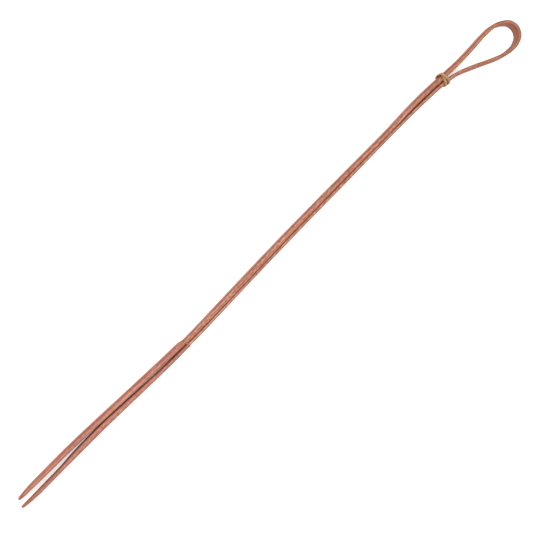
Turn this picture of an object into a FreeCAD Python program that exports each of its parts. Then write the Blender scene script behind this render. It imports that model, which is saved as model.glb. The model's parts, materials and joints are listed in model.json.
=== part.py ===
"""Marshmallow roasting fork: a strip of wood bent round into a loop, with two springy tines.

The strip stands on edge. Its middle is bent into a teardrop loop for a handle and its two ends
run side by side as the legs of the shaft. A tine is spliced to the end of each leg. A fine
thread binds the legs beside the splices, and a lace is lashed round them at the loop's throat.

The fork lies flat: X runs along the shaft towards the loop, Y across it with the upper leg on
the +Y side, Z up from the surface it lies on. Each part is drawn from the throat, and all are
then placed so that the origin is the middle of the fork's base.
"""

import FreeCAD, Part
import math
import os

V = FreeCAD.Vector

DIMENSIONS = {
    "strip_height": 10.5,  # how tall the strip stands on its edge
    "planed_off": 0.2,  # taken off the underside to make it flat
    "leg_arris": 1.1,  # rounded long edges of the loop and legs
    "tine_arris": 0.8,  # rounded long edges of the tines
    "splice_back": 496.5,  # from the throat back to the middle of the splices
    "splice_gap": 0.24,  # running gap between each leg's end and its tine
    "taper_length": 60.0,  # how much of a tine is cut down towards its point
    "tip_height": 3.0,  # how tall a tine is at its point
    "lace_diameter": 1.8,
    "lace_gap": 0.12,  # between the lace and the wood that it goes round
    "lace_bend": 1.2,  # centreline radius of the lace's corners
    "lace_bow": 1.1,  # how far the second turn bows out beside the upper leg
    "lace_seat_start": -12.0,  # the seat under the legs, from the throat
    "lace_seat_end": 0.5,
    "thread_diameter": 0.7,
    "thread_gap": 0.1,
    "thread_bend": 0.6,
    "thread_pitch": 1.0,
    "thread_setback": 1.6,  # from the splice to the nearer turn
    "floor_gap": 0.1,  # between a lashing and the surface that the fork lies on
}

# Each row is a place on a strip's centreline, x and y from the throat, and the thickness there.
UPPER_TINE = [
    (-789.0, 0.9, 2.8),
    (-784.5, 1.0, 3.7),
    (-771.0, 1.45, 4.7),
    (-742.0, 1.75, 5.4),
    (-695.0, 1.85, 5.9),
    (-645.0, 0.85, 6.2),
    (-580.0, -0.95, 6.4),
    (-520.0, -2.35, 6.4),
    (-496.5, -2.75, 6.5),
]
HANDLE = [
    (-496.5, -3.55, 5.2),
    (-475.0, -3.45, 5.6),
    (-430.0, -2.35, 6.1),
    (-380.0, -0.85, 6.2),
    (-290.0, 1.65, 5.8),
    (-200.0, 3.1, 5.2),
    (-110.0, 4.15, 4.8),
    (-45.0, 5.75, 5.5),
    (-8.0, 4.95, 5.7),
    (28.0, 4.25, 4.8),
    (52.0, 5.05, 4.5),
    (74.0, 6.15, 4.4),
    (91.5, 5.35, 4.5),
    (104.5, 1.0, 4.6),
    (112.7, -5.3, 5.1),
    (114.8, -13.1, 5.5),
    (111.5, -20.5, 5.1),
    (102.6, -25.4, 4.6),
    (90.0, -26.5, 4.4),
    (74.0, -23.9, 4.3),
    (56.0, -18.1, 4.3),
    (34.0, -10.2, 4.4),
    (14.0, -4.1, 4.2),
    (-8.0, -1.2, 4.0),
    (-45.0, 0.1, 3.7),
    (-110.0, -0.1, 3.4),
    (-200.0, -1.6, 3.8),
    (-290.0, -3.2, 3.5),
    (-380.0, -5.6, 3.2),
    (-430.0, -7.2, 3.3),
    (-475.0, -8.3, 3.6),
    (-496.5, -8.5, 3.8),
]
LOWER_TINE = [
    (-792.5, -7.7, 2.6),
    (-788.0, -8.0, 3.4),
    (-774.0, -8.5, 4.1),
    (-742.0, -8.2, 4.4),
    (-718.0, -7.8, 4.6),
    (-695.0, -7.0, 5.8),
    (-670.0, -6.6, 6.4),
    (-645.0, -6.5, 6.5),
    (-614.0, -7.1, 5.9),
    (-580.0, -7.9, 5.3),
    (-520.0, -8.9, 4.2),
    (-496.5, -8.7, 4.1),
]


def write_dimensions(doc):
    """The driving dimensions, one to a row, each with its name as an alias."""
    sheet = doc.addObject("Spreadsheet::Sheet", "Dimensions")
    for row, (name, value) in enumerate(DIMENSIONS.items(), start=1):
        sheet.set(f"A{row}", name)
        sheet.set(f"B{row}", str(value))
        sheet.setAlias(f"B{row}", name)
    doc.recompute()
    return sheet


def spline(points):
    curve = Part.BSplineCurve()
    curve.interpolate(points)
    return curve


def centreline(stations):
    return spline([V(x, y, 0) for x, y, _ in stations])


def places_along(stations, widest_turn=math.radians(9)):
    """Each station, and more between two where the strip bends: centre, left side, thickness."""
    curve = centreline(stations)
    knots = [curve.parameter(V(x, y, 0)) for x, y, _ in stations]
    directions = [curve.tangent(knot)[0] for knot in knots]
    places = []
    for index, (_, _, thickness) in enumerate(stations):
        following = min(index + 1, len(stations) - 1)
        turn = directions[index].getAngle(directions[following])
        steps = max(1, math.ceil(turn / widest_turn))
        for step in range(steps):
            part_way = step / steps
            knot = knots[index] + part_way * (knots[following] - knots[index])
            along = curve.tangent(knot)[0]
            wide = thickness + part_way * (stations[following][2] - thickness)
            places.append((curve.value(knot), V(-along.y, along.x, 0), wide))
    return places


def face_points(stations, side):
    """Points on one face of a strip: side 1 is on the left of travel, -1 on the right."""
    return [centre + left * (side * wide / 2) for centre, left, wide in places_along(stations)]


def rounded_section(centre, left, thickness, bottom, top, arris):
    """An upright rectangle across the strip with rounded corners."""
    wide, tall = thickness / 2, (top - bottom) / 2
    middle = centre + V(0, 0, bottom + tall)
    inset = arris * (1 - math.sqrt(0.5))

    def at(across, up):
        return middle + left * across + V(0, 0, up)

    edges = []
    corners = [(1, 1), (-1, 1), (-1, -1), (1, -1)]
    for index, (across, up) in enumerate(corners):
        lying = at(across * (wide - arris), up * tall)
        standing = at(across * wide, up * (tall - arris))
        corner = at(across * (wide - inset), up * (tall - inset))
        enter, leave = (standing, lying) if index % 2 == 0 else (lying, standing)
        edges.append(Part.Arc(enter, corner, leave).toShape())
        after, above = corners[(index + 1) % 4]
        if index % 2 == 0:
            onward = at(after * (wide - arris), above * tall)
        else:
            onward = at(after * wide, above * (tall - arris))
        edges.append(Part.LineSegment(leave, onward).toShape())
    return Part.Wire(edges)


def strip(doc, name, sections):
    """A strip lofted through its sections, one after another."""
    features = []
    for number, wire in enumerate(sections, start=1):
        section = doc.addObject("Part::Feature", f"{name}_section_{number}")
        section.Shape = wire
        features.append(section)
    loft = doc.addObject("Part::Loft", name)
    loft.Sections = features
    loft.Solid = True
    loft.Ruled = True
    doc.recompute()
    return loft


def block(doc, name, start, length, height, base="0"):
    """A box across the whole fork, to be cut away from a strip."""
    box = doc.addObject("Part::Box", name)
    box.setExpression("Length", length)
    box.setExpression("Width", "8 * Dimensions.strip_height")
    box.setExpression("Height", height)
    box.setExpression("Placement.Base.x", start)
    box.setExpression("Placement.Base.y", "-4 * Dimensions.strip_height")
    box.setExpression("Placement.Base.z", base)
    return box


def underside(doc, name):
    """Everything below the surface that the fork lies on."""
    return block(
        doc,
        name,
        "-2 * Dimensions.splice_back",
        "3 * Dimensions.splice_back",
        "Dimensions.strip_height",
        "-1 * Dimensions.strip_height",
    )


def cut_from(doc, name, whole, tools):
    """A finished strip: the whole less its tools, checked to have lost something."""
    tool = tools[0]
    if len(tools) > 1:
        tool = doc.addObject("Part::MultiFuse", name + "_tools")
        tool.Shapes = tools
    piece = doc.addObject("Part::Cut", name)
    piece.Label = name
    piece.Base = whole
    piece.Tool = tool
    doc.recompute()
    if piece.Shape.Volume > whole.Shape.Volume - 1:
        raise RuntimeError(f"nothing was cut from {name}")
    return piece


def square_end(places, index, x):
    """Makes one end of a strip square to the shaft, at x."""
    centre, left, wide = places[index]
    places[index] = (V(x, centre.y, 0), V(0, math.copysign(1, left.y), 0), wide)


def make_handle(doc, sheet):
    """The loop and both legs, from the upper leg's splice round to the lower leg's."""
    places = places_along(HANDLE)
    end = -sheet.splice_back + sheet.splice_gap / 2
    square_end(places, 0, end)
    square_end(places, -1, end)
    low, top = -sheet.planed_off, sheet.strip_height
    sections = [
        rounded_section(centre, left, wide, low, top, sheet.leg_arris)
        for centre, left, wide in places
    ]
    # Seats under the legs keep the lashings clear of the surface that the fork lies on.
    lace_seat = block(
        doc,
        "lace_seat",
        "Dimensions.lace_seat_start",
        "Dimensions.lace_seat_end - Dimensions.lace_seat_start",
        "Dimensions.floor_gap + Dimensions.lace_diameter + Dimensions.lace_gap",
    )
    thread_seat = block(
        doc,
        "thread_seat",
        "Dimensions.thread_setback - Dimensions.splice_back - Dimensions.thread_pitch",
        "4 * Dimensions.thread_pitch",
        "Dimensions.floor_gap + Dimensions.thread_diameter + Dimensions.thread_gap",
    )
    tools = [underside(doc, "handle_underside"), lace_seat, thread_seat]
    return cut_from(doc, "handle_strip", strip(doc, "handle_whole", sections), tools)


def make_tine(doc, sheet, name, stations):
    """A tine from its point to its splice, cut down in height towards the point."""
    places = places_along(stations)
    square_end(places, -1, -sheet.splice_back - sheet.splice_gap / 2)
    sections = []
    for centre, left, wide in places:
        to_taper = max(0, 1 - (centre.x - stations[0][0]) / sheet.taper_length)
        cut_down = (sheet.strip_height - sheet.tip_height) / 2 * to_taper ** 2
        bottom, top = cut_down - sheet.planed_off, sheet.strip_height - cut_down
        arris = min(sheet.tine_arris, 0.4 * wide)
        sections.append(rounded_section(centre, left, wide, bottom, top, arris))
    whole = strip(doc, name + "_whole", sections)
    return cut_from(doc, name, whole, [underside(doc, name + "_underside")])


def rounded_route(corners, radius):
    """Straight runs joined by tangent arcs, through a row of corners."""
    edges = []
    start = corners[0]
    for before, corner, after in zip(corners, corners[1:], corners[2:]):
        back = (before - corner).normalize()
        onward = (after - corner).normalize()
        half_angle = back.getAngle(onward) / 2
        reach = radius / math.tan(half_angle)
        enter = corner + back * reach
        leave = corner + onward * reach
        bisector = (back + onward).normalize()
        middle = corner + bisector * (radius / math.sin(half_angle) - radius)
        edges.append(Part.LineSegment(start, enter).toShape())
        edges.append(Part.Arc(enter, middle, leave).toShape())
        start = leave
    edges.append(Part.LineSegment(start, corners[-1]).toShape())
    return Part.Wire(edges)


def lashing(doc, name, corners, radius, diameter):
    """A round lace or thread swept along its route."""
    route = doc.addObject("Part::Feature", name + "_route")
    route.Shape = rounded_route(corners, radius)
    section = doc.addObject("Part::Circle", name + "_section")
    section.setExpression("Radius", f"Dimensions.{diameter} / 2")
    start = corners[0]
    turn = FreeCAD.Rotation(V(0, 0, 1), corners[1] - start)
    section.Placement = FreeCAD.Placement(start, turn)
    sweep = doc.addObject("Part::Sweep", name)
    sweep.Label = name
    sweep.Sections = [section]
    sweep.Spine = (route, [f"Edge{n}" for n in range(1, len(route.Shape.Edges) + 1)])
    sweep.Solid = True
    sweep.Frenet = False
    doc.recompute()
    expected = route.Shape.Length * math.pi * section.Radius.Value ** 2
    if abs(sweep.Shape.Volume / expected - 1) > 0.02:
        raise RuntimeError(f"{name} is not its section times its length")
    return sweep


def crossing(points, x):
    """Where a row of points joined by straight runs crosses x."""
    for start, finish in zip(points, points[1:]):
        if min(start.x, finish.x) <= x < max(start.x, finish.x):
            return start.y + (finish.y - start.y) * (x - start.x) / (finish.x - start.x)
    raise ValueError(f"nothing crosses {x}")


def leg_faces(x):
    """Across the shaft at x: upper leg's outer and inner face, lower leg's inner and outer face."""
    outer, inner = face_points(HANDLE, 1), face_points(HANDLE, -1)
    return (
        crossing(outer, x),
        crossing(inner, x),
        crossing(inner[::-1], x),
        crossing(outer[::-1], x),
    )


def make_lace(doc, sheet):
    """Two turns round both legs, the second crossing over the first on top of the upper leg."""
    stand_off = sheet.lace_gap + sheet.lace_diameter / 2
    over = sheet.strip_height + stand_off
    crossing_over = over + sheet.lace_diameter + sheet.lace_gap
    under = sheet.floor_gap + sheet.lace_diameter / 2

    def above(x, height, bow=0):
        return V(x, leg_faces(x)[0] + stand_off + bow, height)

    def below(x, height):
        return V(x, leg_faces(x)[3] - stand_off, height)

    corners = [
        V(-4.3, 3.6, under),
        above(-4.2, under),
        above(-4.2, over),
        below(-9.8, over),
        below(-9.8, under),
        above(-6.8, under),
        above(-6.8, sheet.strip_height / 2, sheet.lace_bow),
        above(-6.8, crossing_over),
        V(-3.6, 1.2, crossing_over),
        below(-4.6, over),
        below(-4.6, under),
        V(-4.5, 1.0, under),
    ]
    return lashing(doc, "throat_lace", corners, sheet.lace_bend, "lace_diameter")


def make_thread(doc, sheet):
    """Two turns of thread round both legs, on the handle's side of the splices."""
    stand_off = sheet.thread_gap + sheet.thread_diameter / 2
    over = sheet.strip_height + stand_off
    under = sheet.floor_gap + sheet.thread_diameter / 2
    turns = 2
    start = -sheet.splice_back + sheet.thread_setback
    faces = leg_faces(start)
    above, below = faces[0] + stand_off, faces[3] - stand_off
    middle = (above + below) / 2
    corners = [V(start, middle, under)]
    for turn in range(turns):
        near = start + turn * sheet.thread_pitch
        far = near + sheet.thread_pitch
        corners += [V(near, above, under), V(near, above, over)]
        corners += [V(far, below, over), V(far, below, under)]
    corners.append(V(far, middle, under))
    return lashing(doc, "splice_thread", corners, sheet.thread_bend, "thread_diameter")


def move_to_origin(pieces):
    """Puts the middle of the whole fork's base at the origin."""
    boxes = [piece.Shape.optimalBoundingBox(False) for piece in pieces]
    x = (min(box.XMin for box in boxes) + max(box.XMax for box in boxes)) / 2
    y = (min(box.YMin for box in boxes) + max(box.YMax for box in boxes)) / 2
    z = min(box.ZMin for box in boxes)
    for piece in pieces:
        piece.Placement = FreeCAD.Placement(V(-x, -y, -z), FreeCAD.Rotation())
    return x, y, z


def check(doc, pieces):
    for item in doc.Objects:
        if {"Invalid", "Error"} & set(item.State):
            raise RuntimeError(f"{item.Name}: {item.State}")
    for piece in pieces:
        if piece.Shape.isNull() or not piece.Shape.isValid():
            raise RuntimeError(f"{piece.Label} has no valid shape")
        if len(piece.Shape.Solids) != 1:
            raise RuntimeError(f"{piece.Label} is not one solid")


def main():
    doc = FreeCAD.newDocument("RoastingFork")
    sheet = write_dimensions(doc)
    pieces = [
        make_handle(doc, sheet),
        make_tine(doc, sheet, "upper_tine", UPPER_TINE),
        make_tine(doc, sheet, "lower_tine", LOWER_TINE),
        make_lace(doc, sheet),
        make_thread(doc, sheet),
    ]
    throat = move_to_origin(pieces)
    doc.recompute()
    check(doc, pieces)
    print("throat at", [round(-value, 3) for value in throat])
    os.makedirs("parts", exist_ok=True)
    for piece in pieces:
        piece.Shape.exportStep(f"parts/{piece.Label}.step")
        box = piece.Shape.optimalBoundingBox(False)
        print(f"{piece.Label}: {piece.Shape.Volume:.0f} mm3, {box}")


main()
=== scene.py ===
"""Marshmallow roasting fork, as it looks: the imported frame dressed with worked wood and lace.

The strip and the tines are swept along the same lines as in the CAD model, with the small
unevenness of scraped wood. Lengths are in metres, except in the stations, which are in
millimetres from the throat of the loop.
"""

import json
import math

import bpy
from mathutils import Matrix, Vector, noise


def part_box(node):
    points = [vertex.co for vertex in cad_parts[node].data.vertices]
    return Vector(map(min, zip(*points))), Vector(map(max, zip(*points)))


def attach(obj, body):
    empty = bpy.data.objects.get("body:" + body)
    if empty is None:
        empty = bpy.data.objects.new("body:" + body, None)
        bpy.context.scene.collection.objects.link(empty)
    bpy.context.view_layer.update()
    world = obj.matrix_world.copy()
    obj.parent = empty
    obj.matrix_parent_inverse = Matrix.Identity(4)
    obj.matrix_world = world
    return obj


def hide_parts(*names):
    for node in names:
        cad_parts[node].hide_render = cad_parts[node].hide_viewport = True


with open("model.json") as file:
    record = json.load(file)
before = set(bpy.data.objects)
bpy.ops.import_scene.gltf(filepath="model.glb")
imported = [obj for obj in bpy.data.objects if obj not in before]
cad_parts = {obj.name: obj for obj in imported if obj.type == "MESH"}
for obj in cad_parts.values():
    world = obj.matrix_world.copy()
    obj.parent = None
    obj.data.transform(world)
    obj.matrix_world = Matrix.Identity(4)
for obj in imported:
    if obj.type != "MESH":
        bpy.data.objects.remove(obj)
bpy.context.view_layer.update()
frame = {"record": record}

MM = 0.001

SPLICE_BACK = 0.4965  # from the throat back to the middle of the splices
SPLICE_GAP = 0.00024
HANDLE_LOW, HANDLE_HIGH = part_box("handle_strip")
STRIP_HEIGHT = HANDLE_HIGH.z - HANDLE_LOW.z

# Each row is a place on a strip's centreline, x and y from the throat, and the thickness there.
UPPER_TINE = [
    (-789.0, 0.9, 2.8),
    (-784.5, 1.0, 3.7),
    (-771.0, 1.45, 4.7),
    (-742.0, 1.75, 5.4),
    (-695.0, 1.85, 5.9),
    (-645.0, 0.85, 6.2),
    (-580.0, -0.95, 6.4),
    (-520.0, -2.35, 6.4),
    (-496.5, -2.75, 6.5),
]
HANDLE = [
    (-496.5, -3.55, 5.2),
    (-475.0, -3.45, 5.6),
    (-430.0, -2.35, 6.1),
    (-380.0, -0.85, 6.2),
    (-290.0, 1.65, 5.8),
    (-200.0, 3.1, 5.2),
    (-110.0, 4.15, 4.8),
    (-45.0, 5.75, 5.5),
    (-8.0, 4.95, 5.7),
    (28.0, 4.25, 4.8),
    (52.0, 5.05, 4.5),
    (74.0, 6.15, 4.4),
    (91.5, 5.35, 4.5),
    (104.5, 1.0, 4.6),
    (112.7, -5.3, 5.1),
    (114.8, -13.1, 5.5),
    (111.5, -20.5, 5.1),
    (102.6, -25.4, 4.6),
    (90.0, -26.5, 4.4),
    (74.0, -23.9, 4.3),
    (56.0, -18.1, 4.3),
    (34.0, -10.2, 4.4),
    (14.0, -4.1, 4.2),
    (-8.0, -1.2, 4.0),
    (-45.0, 0.1, 3.7),
    (-110.0, -0.1, 3.4),
    (-200.0, -1.6, 3.8),
    (-290.0, -3.2, 3.5),
    (-380.0, -5.6, 3.2),
    (-430.0, -7.2, 3.3),
    (-475.0, -8.3, 3.6),
    (-496.5, -8.5, 3.8),
]
LOWER_TINE = [
    (-792.5, -7.7, 2.6),
    (-788.0, -8.0, 3.4),
    (-774.0, -8.5, 4.1),
    (-742.0, -8.2, 4.4),
    (-718.0, -7.8, 4.6),
    (-695.0, -7.0, 5.8),
    (-670.0, -6.6, 6.4),
    (-645.0, -6.5, 6.5),
    (-614.0, -7.1, 5.9),
    (-580.0, -7.9, 5.3),
    (-520.0, -8.9, 4.2),
    (-496.5, -8.7, 4.1),
]


def find_throat():
    """The throat of the loop, placed by the hanging mount at the loop's farthest point."""
    mounts = {mount["name"]: mount["pos_m"] for mount in frame["record"]["mounts"]}
    mount_x, mount_y, _ = mounts["hanging_loop"]
    farthest_x, farthest_y, _ = max(HANDLE, key=lambda row: row[0])
    return Vector((mount_x - farthest_x * MM, mount_y - farthest_y * MM, 0.0))


THROAT = find_throat()


# ---------------------------------------------------------------- camera, floor and light

def add_camera():
    """A long lens, far off, looking down the shaft from the tines' side."""
    to_camera = Vector((-0.575, 0.121, 0.809)).normalized()
    shaft_rise = math.radians(44.6)  # how steeply the shaft climbs across the picture
    picture_width = 0.5797  # what the picture is wide at the fork
    throat_from_centre = (0.1932, 0.2025)  # right and up, at the fork
    distance = 24.0

    along = (Vector((1, 0, 0)) - to_camera * to_camera.x).normalized()
    aside = to_camera.cross(along)
    right = along * math.cos(shaft_rise) - aside * math.sin(shaft_rise)
    up = along * math.sin(shaft_rise) + aside * math.cos(shaft_rise)
    target = THROAT - right * throat_from_centre[0] - up * throat_from_centre[1]

    data = bpy.data.cameras.new("camera")
    data.sensor_width = 36.0
    data.lens = data.sensor_width * distance / picture_width
    data.clip_end = 2 * distance
    camera = bpy.data.objects.new("camera", data)
    bpy.context.scene.collection.objects.link(camera)
    axes = Matrix((right, up, to_camera)).transposed().to_4x4()
    camera.matrix_world = Matrix.Translation(target + to_camera * distance) @ axes
    bpy.context.scene.camera = camera


def add_floor():
    half = 6.0
    clearance = 0.0002  # below the fork, so that the two faces don't flicker
    corners = [(-half, -half, 0), (half, -half, 0), (half, half, 0), (-half, half, 0)]
    mesh = bpy.data.meshes.new("floor")
    mesh.from_pydata(corners, [], [(0, 1, 2, 3)])
    floor = bpy.data.objects.new("floor", mesh)
    floor.location.z = -clearance
    bpy.context.scene.collection.objects.link(floor)
    paint = bpy.data.materials.new("floor_paint")
    paint.use_nodes = True
    shader = paint.node_tree.nodes["Principled BSDF"]
    shader.inputs["Base Color"].default_value = (0.93, 0.93, 0.93, 1)
    shader.inputs["Roughness"].default_value = 0.9
    # A faint glow, as of a light table, keeps the floor pale between the tines.
    shader.inputs["Emission Color"].default_value = (1, 1, 1, 1)
    shader.inputs["Emission Strength"].default_value = 0.55
    mesh.materials.append(paint)


def add_light(name, place, size, power):
    data = bpy.data.lights.new(name, "AREA")
    data.shape = "DISK"
    data.size = size
    data.energy = power
    light = bpy.data.objects.new(name, data)
    light.location = place
    light.rotation_euler = (-Vector(place)).to_track_quat("-Z", "Y").to_euler()
    bpy.context.scene.collection.objects.link(light)


def add_world(strength):
    world = bpy.data.worlds.new("world")
    world.use_nodes = True
    background = world.node_tree.nodes["Background"]
    background.inputs["Color"].default_value = (1, 1, 1, 1)
    background.inputs["Strength"].default_value = strength
    bpy.context.scene.world = world
    # Plain colours, so that the pale floor stays pale and the wood keeps its own tone.
    bpy.context.scene.view_settings.view_transform = "Standard"


# ---------------------------------------------------------------- node helpers

class Nodes:
    """A material's node tree, with one method for each kind of node that is used here."""

    def __init__(self, name, colour):
        self.material = bpy.data.materials.new(name)
        self.material.use_nodes = True
        self.material.diffuse_color = (*colour, 1)
        self.tree = self.material.node_tree
        self.shader = self.tree.nodes["Principled BSDF"]

    def add(self, kind, inputs=None, **settings):
        node = self.tree.nodes.new(kind)
        for key, value in settings.items():
            setattr(node, key, value)
        for key, value in (inputs or {}).items():
            if isinstance(value, bpy.types.NodeSocket):
                self.tree.links.new(value, node.inputs[key])
            else:
                node.inputs[key].default_value = value
        return node

    def attribute(self, name):
        return self.add("ShaderNodeAttribute", attribute_name=name)

    def stretch(self, vector, scale, offset=(0, 0, 0)):
        inputs = {"Vector": vector, "Scale": scale, "Location": offset}
        return self.add("ShaderNodeMapping", inputs).outputs["Vector"]

    def noise(self, vector, scale=1.0, detail=3.0, roughness=0.55, distortion=0.0):
        inputs = {
            "Vector": vector,
            "Scale": scale,
            "Detail": detail,
            "Roughness": roughness,
            "Distortion": distortion,
        }
        return self.add("ShaderNodeTexNoise", inputs).outputs["Fac"]

    def span(self, value, low, high, to_low=0.0, to_high=1.0):
        """value from low..high to to_low..to_high, held at the ends."""
        inputs = {
            "Value": value,
            "From Min": low,
            "From Max": high,
            "To Min": to_low,
            "To Max": to_high,
        }
        return self.add("ShaderNodeMapRange", inputs).outputs["Result"]

    def math(self, operation, first, second=0.0):
        return self.add(
            "ShaderNodeMath", {0: first, 1: second}, operation=operation
        ).outputs[0]

    def mix(self, amount, first, second, blend="MIX"):
        node = self.add("ShaderNodeMix", data_type="RGBA", blend_type=blend)
        # Sockets 6 and 7 are the two colours of a colour mix, and 0 its amount.
        for index, value in ((0, amount), (6, first), (7, second)):
            if isinstance(value, bpy.types.NodeSocket):
                self.tree.links.new(value, node.inputs[index])
            else:
                node.inputs[index].default_value = value
        return node.outputs[2]

    def bump(self, height, strength, distance, below=None):
        inputs = {"Height": height, "Strength": strength, "Distance": distance}
        if below is not None:
            inputs["Normal"] = below
        return self.add("ShaderNodeBump", inputs).outputs["Normal"]

    def connect(self, output, name):
        self.tree.links.new(output, self.shader.inputs[name])


def srgb(red, green, blue):
    """A colour as it shows on a screen, 0 to 255, as the shader wants it."""
    def linear(value):
        value /= 255
        return value / 12.92 if value <= 0.04045 else ((value + 0.055) / 1.055) ** 2.4
    return (linear(red), linear(green), linear(blue), 1)


# ---------------------------------------------------------------- materials

def wood(name, light, middle, dark, line, painted_shade, end_colour, speckle, mottle):
    """Scraped reddish wood. The grain follows the strip, by the mesh's own grain attribute.

    light, middle and dark are its fibres, line the thin streaks and the darkened rounded edges,
    painted_shade the painted shade on the upright faces, most of all those turned to the other
    leg, and end_colour the darker tone towards the loop's end and the tines' points. speckle is
    how strong its pores and flecks are, and mottle how blotchy its upright faces are, partly the
    wood's own mottle and partly painted shade.
    """
    n = Nodes(name, middle[:3])
    grain = n.attribute("grain").outputs["Vector"]
    arris = n.attribute("arris").outputs["Fac"]
    inner = n.attribute("inner").outputs["Fac"]
    end_darkening = n.attribute("end_darkening").outputs["Fac"]

    fibres = n.noise(n.stretch(grain, (45, 1500, 1500)), detail=5, roughness=0.65)
    figure = n.noise(n.stretch(grain, (9, 260, 260), (3, 1, 2)), detail=3, distortion=0.4)
    cloud = n.noise(n.stretch(grain, (22, 60, 60), (7, 5, 1)), detail=2)
    tone = n.math("ADD", n.math("MULTIPLY", fibres, 0.45), n.math("MULTIPLY", figure, 0.55))
    colour = n.mix(n.span(tone, 0.36, 0.52), dark, middle)
    colour = n.mix(n.span(tone, 0.48, 0.66), colour, light)
    colour = n.mix(n.span(cloud, 0.5, 0.72, 0, 0.35), colour, light)

    streaks = n.noise(n.stretch(grain, (5, 620, 620), (1, 9, 4)), detail=1.5)
    colour = n.mix(n.span(streaks, 0.56, 0.66, 0, 0.85), colour, line)

    pores = n.noise(n.stretch(grain, (420, 2600, 2600), (5, 2, 8)), detail=1)
    colour = n.mix(n.span(pores, 0.6, 0.7, 0, speckle), colour, dark)

    flecks = n.noise(n.stretch(grain, (260, 820, 820), (9, 3, 5)), detail=2, roughness=0.7)
    colour = n.mix(n.span(flecks, 0.52, 0.62, 0, speckle), colour, dark)
    colour = n.mix(n.span(flecks, 0.48, 0.38, 0, speckle), colour, light)

    # Blotches on the upright faces, darkened only where inner weighs painted shade: partly the
    # wood's own mottle, partly painted shade.
    blotches = n.noise(n.stretch(grain, (150, 240, 240), (2, 6, 3)), detail=3)
    mottled_shade = n.math("MULTIPLY", n.span(blotches, 0.46, 0.6, 0, mottle), inner)
    colour = n.mix(mottled_shade, colour, line)
    # Painted shade on the upright faces, weighed by inner.
    colour = n.mix(n.math("MULTIPLY", inner, 0.75), colour, painted_shade)
    # Darker, in blotches, towards the loop's end and the tines' points.
    end_blotches = n.noise(n.stretch(grain, (110, 420, 420), (4, 1, 7)), detail=4)
    darkened = n.math("MULTIPLY", n.span(end_blotches, 0.35, 0.65, 0.4, 0.95), end_darkening)
    colour = n.mix(darkened, colour, end_colour)

    # Darker along the rounded edges, raggedly.
    ragged = n.noise(n.stretch(grain, (70, 500, 500), (8, 8, 1)), detail=3)
    worn = n.math("MULTIPLY", arris, n.span(ragged, 0.3, 0.6, 0.45, 1.0))
    colour = n.mix(worn, colour, line)
    n.connect(colour, "Base Color")

    rough = n.span(n.math("ADD", tone, n.math("MULTIPLY", pores, 0.3)), 0.45, 0.85, 0.5, 0.72)
    n.connect(rough, "Roughness")
    n.shader.inputs["Specular IOR Level"].default_value = 0.35
    n.shader.inputs["Coat Weight"].default_value = 0.06
    n.shader.inputs["Coat Roughness"].default_value = 0.35

    facets = n.noise(n.stretch(grain, (55, 240, 240), (4, 4, 4)), detail=2)
    normal = n.bump(facets, 0.35, 0.0004)
    normal = n.bump(fibres, 0.45, 0.00012, normal)
    normal = n.bump(n.span(pores, 0.58, 0.7, 1, 0), 0.5, 0.0001, normal)
    n.connect(normal, "Normal")
    return n.material


def leather():
    """Dry tan lace: paler where it is rubbed, brown along its cut edges, with fine creases that
    hold painted shade.
    """
    light, middle, dark = srgb(202, 160, 108), srgb(172, 128, 78), srgb(104, 68, 36)
    n = Nodes("lace_leather", middle[:3])
    grain = n.attribute("grain").outputs["Vector"]
    arris = n.attribute("arris").outputs["Fac"]
    fibres = n.noise(n.stretch(grain, (260, 1400, 1400)), detail=5, roughness=0.7)
    cloud = n.noise(n.stretch(grain, (130, 300, 300), (2, 3, 4)), detail=3)
    colour = n.mix(n.span(fibres, 0.35, 0.65), middle, light)
    colour = n.mix(n.span(cloud, 0.5, 0.7, 0, 0.5), colour, dark)
    creases = n.noise(n.stretch(grain, (1500, 260, 260), (6, 1, 1)), detail=2)
    # Painted shade in the creases.
    colour = n.mix(n.span(creases, 0.6, 0.7, 0, 0.4), colour, dark)
    colour = n.mix(n.math("MULTIPLY", arris, 0.75), colour, dark)
    n.connect(colour, "Base Color")
    n.connect(n.span(fibres, 0.3, 0.7, 0.62, 0.85), "Roughness")
    n.shader.inputs["Sheen Weight"].default_value = 0.15
    normal = n.bump(fibres, 0.5, 0.00015)
    normal = n.bump(n.span(creases, 0.5, 0.7, 1, 0), 0.5, 0.0002, normal)
    n.connect(normal, "Normal")
    return n.material


def waxed_thread():
    """Pale thread of twisted yarn: the ply shows as slanting ridges, with painted shade in the
    grooves between them.
    """
    light, dark = srgb(204, 146, 116), srgb(160, 98, 74)
    n = Nodes("thread", light[:3])
    grain = n.attribute("grain").outputs["Vector"]
    twist = n.add(
        "ShaderNodeTexWave",
        {
            "Vector": n.stretch(grain, (1000, 420, 420)),
            "Scale": 0.32,
            "Distortion": 0.6,
            "Detail": 1.0,
        },
        bands_direction="DIAGONAL",
    ).outputs["Fac"]
    fuzz = n.noise(n.stretch(grain, (2500, 2500, 2500)), detail=3)
    # Painted shade in the grooves between the plies, lighter on their ridges.
    colour = n.mix(n.span(twist, 0.1, 0.7), dark, light)
    colour = n.mix(n.span(fuzz, 0.5, 0.7, 0, 0.3), colour, dark)
    n.connect(colour, "Base Color")
    n.connect(n.span(fuzz, 0.3, 0.7, 0.6, 0.85), "Roughness")
    n.shader.inputs["Sheen Weight"].default_value = 0.2
    n.connect(n.bump(twist, 0.6, 0.0002), "Normal")
    return n.material


# ---------------------------------------------------------------- swept strips

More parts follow.
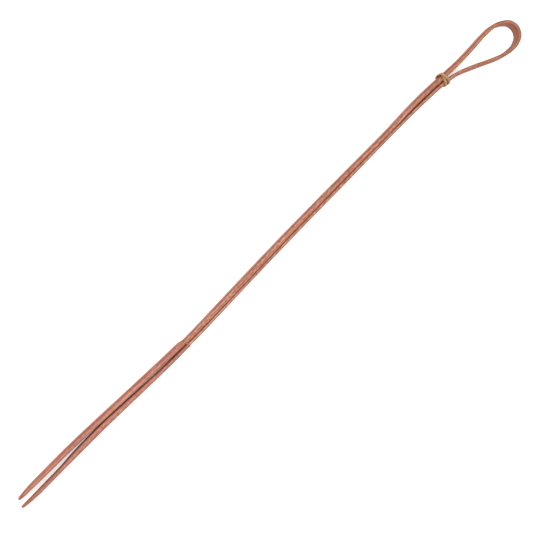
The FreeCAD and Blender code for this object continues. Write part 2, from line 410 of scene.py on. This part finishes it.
def smooth_line(stations, spacing):
    """Rows of (place, thickness, distance along) on a smooth line through the stations."""
    points = [Vector((x, y, wide)) * MM for x, y, wide in stations]
    spans = [(b.xy - a.xy).length for a, b in zip(points, points[1:])]
    slopes = [(b - a) / span for a, b, span in zip(points, points[1:], spans)]
    tangents = [slopes[0]]
    for before, after, span, following in zip(slopes, slopes[1:], spans, spans[1:]):
        tangents.append((before * following + after * span) / (span + following))
    tangents.append(slopes[-1])

    rows = []
    travelled = 0.0
    for index, span in enumerate(spans):
        steps = max(1, round(span / spacing))
        for step in range(steps + (index == len(spans) - 1)):
            t = step / steps
            start = points[index] * (1 + 2 * t) * (1 - t) ** 2
            finish = points[index + 1] * t * t * (3 - 2 * t)
            leaving = tangents[index] * (span * t * (1 - t) ** 2)
            arriving = tangents[index + 1] * (span * t * t * (t - 1))
            here = start + finish + leaving + arriving
            rows.append((here.xy, here.z, travelled + span * t))
        travelled += span
    return rows


def side_directions(rows):
    """The direction to the left of travel at each row."""
    lefts = []
    for index in range(len(rows)):
        before = rows[max(index - 1, 0)][0]
        after = rows[min(index + 1, len(rows) - 1)][0]
        along = (after - before).normalized()
        lefts.append(Vector((-along.y, along.x)))
    return lefts


ARC_STEPS = 5
FLAT_STEPS = 4
ROW_SPACING = 0.0015  # along a strip


def ring(half_wide, half_tall, radii):
    """Points (across, up, arris) round a rectangle, with a radius for each rounded corner.

    The corners are left top, right top, right low and left low. arris is 1 on a corner's arc
    and 0 on the flats between.
    """
    signs = [(1, 1), (-1, 1), (-1, -1), (1, -1)]
    points = []
    for index, ((across, up), radius) in enumerate(zip(signs, radii)):
        centre = (across * (half_wide - radius), up * (half_tall - radius))
        for step in range(ARC_STEPS + 1):
            angle = math.radians(90) * (index + step / ARC_STEPS)
            edge = math.sin(math.pi * (step + 0.5) / (ARC_STEPS + 1))
            point = (
                centre[0] + radius * math.cos(angle),
                centre[1] + radius * math.sin(angle),
            )
            points.append((*point, edge))
        following = (index + 1) % 4
        next_across, next_up = signs[following]
        next_radius = radii[following]
        angle = math.radians(90) * following
        start = points[-1]
        finish = (
            next_across * (half_wide - next_radius) + next_radius * math.cos(angle),
            next_up * (half_tall - next_radius) + next_radius * math.sin(angle),
        )
        for step in range(1, FLAT_STEPS):
            t = step / FLAT_STEPS
            x = start[0] + (finish[0] - start[0]) * t
            y = start[1] + (finish[1] - start[1]) * t
            points.append((x, y, 0.0))
    return points


def mesh_from_rings(name, rings, material):
    """A closed tube through rings of (place, grain, arris, inner, end_darkening), with filled ends;
    inner weighs the painted shade.
    """
    count = len(rings[0])
    places = [point[0] for row in rings for point in row]
    faces = []
    for row in range(len(rings) - 1):
        for index in range(count):
            onward = (index + 1) % count
            a, b = row * count + index, row * count + onward
            faces.append((a, b, b + count, a + count))
    last = (len(rings) - 1) * count
    faces.append(tuple(range(count))[::-1])
    faces.append(tuple(range(last, last + count)))
    mesh = bpy.data.meshes.new(name)
    mesh.from_pydata(places, [], faces)
    grain = mesh.attributes.new("grain", "FLOAT_VECTOR", "POINT")
    grain.data.foreach_set("vector", [c for row in rings for point in row for c in point[1]])
    for slot, key in ((2, "arris"), (3, "inner"), (4, "end_darkening")):
        attribute = mesh.attributes.new(key, "FLOAT", "POINT")
        attribute.data.foreach_set("value", [point[slot] for row in rings for point in row])
    mesh.polygons.foreach_set("use_smooth", [True] * len(mesh.polygons))
    mesh.materials.append(material)
    mesh.update()
    piece = bpy.data.objects.new(name, mesh)
    bpy.context.scene.collection.objects.link(piece)
    return piece


SCRAPE = 0.00016  # how uneven the scraped faces are
# The painted shade on an outer face, as a share of that on a face turned to the other leg.
OUTER_PAINTED_SHADE = 0.6  # how dark an outer face is, where a face turned to the other leg is 1


def scraped(distance, across, up, seed):
    """Unevenness of a scraped face: long shallow waves with a little chatter, from -1 to 1."""
    long_wave = noise.noise(Vector((distance * 22, across * 90 + seed, up * 90)))
    chatter = noise.noise(Vector((distance * 120, across * 200, up * 200 + seed)))
    return 0.75 * long_wave + 0.25 * chatter


def strip_rings(stations, height_at, radii_at, inner_side, seats, seed, x_range):
    """Rings along a strip, held within x_range.

    inner_side is -1 where the right of travel faces the other leg, and 1 where the left does.
    """
    first_x, last_x = x_range
    rows = smooth_line(stations, ROW_SPACING)
    lefts = side_directions(rows)
    rings = []
    for (place, wide, travelled), left in zip(rows, lefts):
        low, top = height_at(place.x)
        middle, half_tall = (low + top) / 2, (top - low) / 2
        end_darkness = end_darkening_at(place.x)
        points = []
        for across, up, edge in ring(wide / 2, half_tall, radii_at(place.x, wide, half_tall)):
            dent = SCRAPE * scraped(travelled, across, up, seed)
            face = across / (wide / 2)
            height = middle + up - max(0.0, dent) * max(0.0, up / half_tall)
            if up < 0:
                height = max(height, seat_under(place.x, seats))
            at = place + left * (across + dent * face * 0.6)
            at.x = min(max(at.x, first_x), last_x)
            grain = (travelled + seed, across, up)
            # inner weighs the painted shade: full on the upright face turned to the other leg, less
            # on the outer one, fading out over the top towards its middle.
            painted_shade_side = 1.0 if face * inner_side > 0 else OUTER_PAINTED_SHADE
            inner = painted_shade_side * abs(face) ** 3
            points.append((THROAT + Vector((at.x, at.y, height)), grain, edge, inner, end_darkness))
        rings.append(points)
    return rings


def end_darkening_at(x):
    """How far the wood is darkened at x: towards the loop's end, and towards the tines' points."""
    loop_starts, loop_length = -0.15, 0.26
    points_start, points_length, points_share = -0.66, 0.13, 0.75
    towards_loop = min(1.0, max(0.0, (x - loop_starts) / loop_length))
    towards_points = min(1.0, max(0.0, (points_start - x) / points_length))
    return max(towards_loop, points_share * towards_points)


def seat_under(x, seats):
    """How high the strip's underside is cut at x, for a lashing to pass below."""
    for start, finish, depth in seats:
        if start <= x <= finish:
            return depth
    return 0.0


# Where each seat under the legs starts and ends, from the throat, and how high it is cut.
LACE_SEAT = (-0.012, 0.0005, 0.00202)
THREAD_SEAT = (0.0006 - SPLICE_BACK, 0.0046 - SPLICE_BACK, 0.0010)


def make_handle(material):
    """The loop and both legs, with the outer edges worn rounder than the inner ones."""
    def height_at(x):
        return 0.0, STRIP_HEIGHT

    def radii_at(x, wide, half_tall):
        outer, inner = 0.0012, 0.0006
        return (outer, inner, inner, outer)

    seats = [LACE_SEAT, THREAD_SEAT]
    ahead_of_splice = (-SPLICE_BACK + SPLICE_GAP / 2, math.inf)
    rings = strip_rings(HANDLE, height_at, radii_at, -1, seats, 0.0, ahead_of_splice)
    piece = mesh_from_rings("handle_strip_wood", rings, material)
    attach(piece, "handle")
    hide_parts("handle_strip")


TAPER_LENGTH = 0.060
TIP_HEIGHT = 0.0030
NOSE = 0.0012  # how much of a tine's end is its rounded nose


def make_tine(name, stations, material, inner_side, seed):
    """A tine from its rounded point to its splice."""
    tip = stations[0][0] * MM

    def height_at(x):
        to_taper = max(0.0, 1 - (x - tip) / TAPER_LENGTH)
        cut_down = (STRIP_HEIGHT - TIP_HEIGHT) / 2 * to_taper ** 2
        return cut_down, STRIP_HEIGHT - cut_down

    def radii_at(x, wide, half_tall):
        largest = 0.48 * min(wide, 2 * half_tall)
        outer, inner = min(0.0013, largest), min(0.0008, largest)
        left_top, right_top = (inner, outer) if inner_side > 0 else (outer, inner)
        return (left_top, right_top, inner, inner)

    behind_splice = (tip + NOSE, -SPLICE_BACK - SPLICE_GAP / 2)
    rings = strip_rings(stations, height_at, radii_at, inner_side, [], seed, behind_splice)
    piece = mesh_from_rings(name + "_wood", rounded_nose(rings) + rings, material)
    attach(piece, name)
    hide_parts(name)


def rounded_nose(rings):
    """The rings that close a tine's end, ahead of its first ring."""
    first = rings[0]
    centre = sum((point[0] for point in first), Vector()) / len(first)
    outward = (centre - sum((point[0] for point in rings[1]), Vector()) / len(first)).normalized()
    radius = min((point[0] - centre).length for point in first)
    nose = []
    steps, furthest = 5, math.radians(88)
    for step in range(steps, 0, -1):
        angle = furthest * step / steps
        shrink, reach = math.cos(angle), radius * math.sin(angle)
        nose.append(
            [
                (centre + (point[0] - centre) * shrink + outward * reach, *point[1:])
                for point in first
            ]
        )
    return nose


# ---------------------------------------------------------------- lace and thread

def leg_face(x, upper):
    """How far across the shaft the outer face of a leg is, at x from the throat."""
    rows = smooth_line(HANDLE, spacing=0.004)
    turning = max(range(len(rows)), key=lambda index: rows[index][0].x)
    leg, side = (rows[:turning], 1) if upper else (rows[turning:], -1)
    place, wide, _ = min(leg, key=lambda row: abs(row[0].x - x))
    return place.y + side * wide / 2


def tightened(corners, reach):
    """The corners with a point before and after each, so that the bends stay short."""
    route = [corners[0]]
    for before, corner, after in zip(corners, corners[1:], corners[2:]):
        into = min(reach, (before - corner).length / 3)
        out = min(reach, (after - corner).length / 3)
        route.append(corner + (before - corner).normalized() * into)
        route.append(corner)
        route.append(corner + (after - corner).normalized() * out)
    route.append(corners[-1])
    return route


def rounded(route, passes=4):
    """Cuts a route's corners over and over, until it is a smooth curve."""
    for _ in range(passes):
        cut = [route[0]]
        for a, b in zip(route, route[1:]):
            cut.append(a.lerp(b, 0.25))
            cut.append(a.lerp(b, 0.75))
        cut.append(route[-1])
        route = cut
    return route


def facing_out(place, centre, half_size):
    """The way out of the lashed legs at a place round them, square to the nearest side."""
    sharpness = 5
    y = (place.y - centre.y) / half_size[0]
    z = (place.z - centre.z) / half_size[1]
    out = Vector((0, math.copysign(abs(y) ** sharpness, y), math.copysign(abs(z) ** sharpness, z)))
    return out.normalized()


def lashing(name, corners, bend, section, material):
    """A lace or thread swept along its route, its flat side towards the wood.

    section is half its width, half its thickness and the radius of its edges.
    """
    half_wide, half_thick, edge_radius = section
    route = rounded(tightened(corners, bend))
    ys = [place.y for place in route]
    zs = [place.z for place in route]
    centre = Vector((0, (min(ys) + max(ys)) / 2, (min(zs) + max(zs)) / 2))
    half_size = ((max(ys) - min(ys)) / 2, (max(zs) - min(zs)) / 2)
    rings = []
    travelled = 0.0
    for index, place in enumerate(route):
        before, after = route[max(index - 1, 0)], route[min(index + 1, len(route) - 1)]
        along = (after - before).normalized()
        out = facing_out(place, centre, half_size)
        aside = along.cross(out).normalized()
        out = aside.cross(along).normalized()
        if index:
            travelled += (place - route[index - 1]).length
        swell = 1 + 0.1 * noise.noise(Vector((travelled * 260, 3.1, 0.7)))
        points = []
        for across, up, edge in ring(half_wide * swell, half_thick, (edge_radius,) * 4):
            at = THROAT + place + aside * across + out * up
            points.append((at, (travelled, across, up), edge, 0.0, 0.0))
        rings.append(points)
    piece = mesh_from_rings(name, rings, material)
    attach(piece, "handle")
    return piece


def make_lace(material):
    """Two turns round both legs, the second crossing over the first, with the ends tucked under."""
    half_wide, half_thick, edge_radius = 0.00160, 0.00075, 0.0005
    bend = 0.0012  # how near to a corner the lace starts to turn
    stand_off = half_thick + 0.00008
    over = STRIP_HEIGHT + stand_off
    crossing_over = over + 2 * half_thick
    under = LACE_SEAT[2] - stand_off
    slack = 0.0014  # how far the second turn bows out from the upper leg

    def above(x, height, away=0.0):
        return Vector((x, leg_face(x, True) + stand_off + away, height))

    def below(x, height, away=0.0):
        return Vector((x, leg_face(x, False) - stand_off - away, height))

    # The route, from one tucked end to the other, is listed corner by corner.
    corners = [
        Vector((-0.0044, 0.0034, under)),
        above(-0.0042, under),
        above(-0.0044, over),
        below(-0.0098, over),
        below(-0.0062, under),
        above(-0.0068, under),
        above(-0.0066, STRIP_HEIGHT * 0.5, slack),
        above(-0.0060, crossing_over, slack * 0.5),
        Vector((-0.0044, 0.0022, crossing_over + 0.0005)),
        Vector((-0.0037, -0.0012, crossing_over)),
        below(-0.0049, over),
        below(-0.0040, STRIP_HEIGHT * 0.5, slack * 0.3),
        below(-0.0040, under),
        Vector((-0.0036, 0.0010, under)),
    ]
    section = (half_wide, half_thick, edge_radius)
    piece = lashing("throat_lace_leather", corners, bend, section, material)
    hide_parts("throat_lace")


def make_thread(material):
    """Two turns of thread round both legs, beside the splices."""
    radius = 0.00028
    bend = 0.0007
    pitch = 0.00095
    turns = 2
    setback = 0.0016  # from the splice to the nearer turn
    stand_off = radius + 0.00003
    over = STRIP_HEIGHT + stand_off
    under = THREAD_SEAT[2] - stand_off
    start = -SPLICE_BACK + setback
    above = leg_face(start, True) + stand_off
    below = leg_face(start, False) - stand_off
    middle = (above + below) / 2
    corners = [Vector((start, middle, under))]
    for turn in range(turns):
        near = start + turn * pitch
        far = near + pitch
        corners.append(Vector((near, above, under)))
        corners.append(Vector((near, above, over)))
        corners.append(Vector((far, below, over)))
        corners.append(Vector((far, below, under)))
    corners.append(Vector((start + turns * pitch, middle, under)))
    section = (radius, radius, 0.98 * radius)
    piece = lashing("splice_thread_yarn", corners, bend, section, material)
    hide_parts("splice_thread")


# ---------------------------------------------------------------- the whole scene

def main():
    add_camera()
    add_floor()
    add_world(0.85)
    add_light("key", (-1.2, 1.6, 2.6), 1.6, 42)
    add_light("fill", (1.4, -1.8, 2.2), 2.2, 22)

    handle_wood = wood(
        "strip_wood",
        light=srgb(214, 158, 132),
        middle=srgb(188, 124, 97),
        dark=srgb(150, 90, 65),
        line=srgb(132, 62, 41),
        # painted shade for the upright faces
        painted_shade=srgb(112, 62, 46),
        end_colour=srgb(148, 93, 66),
        speckle=0.8,
        mottle=0.85,
    )
    tine_wood = wood(
        "tine_wood",
        light=srgb(206, 148, 128),
        middle=srgb(184, 122, 102),
        dark=srgb(152, 92, 72),
        line=srgb(146, 66, 47),
        painted_shade=srgb(112, 60, 42),
        # painted shade for the upright faces
        end_colour=srgb(148, 92, 70),
        speckle=0.6,
        mottle=0.5,
    )
    make_handle(handle_wood)
    make_tine("upper_tine", UPPER_TINE, tine_wood, inner_side=-1, seed=0.37)
    make_tine("lower_tine", LOWER_TINE, tine_wood, inner_side=1, seed=0.81)
    make_lace(leather())
    make_thread(waxed_thread())


main()
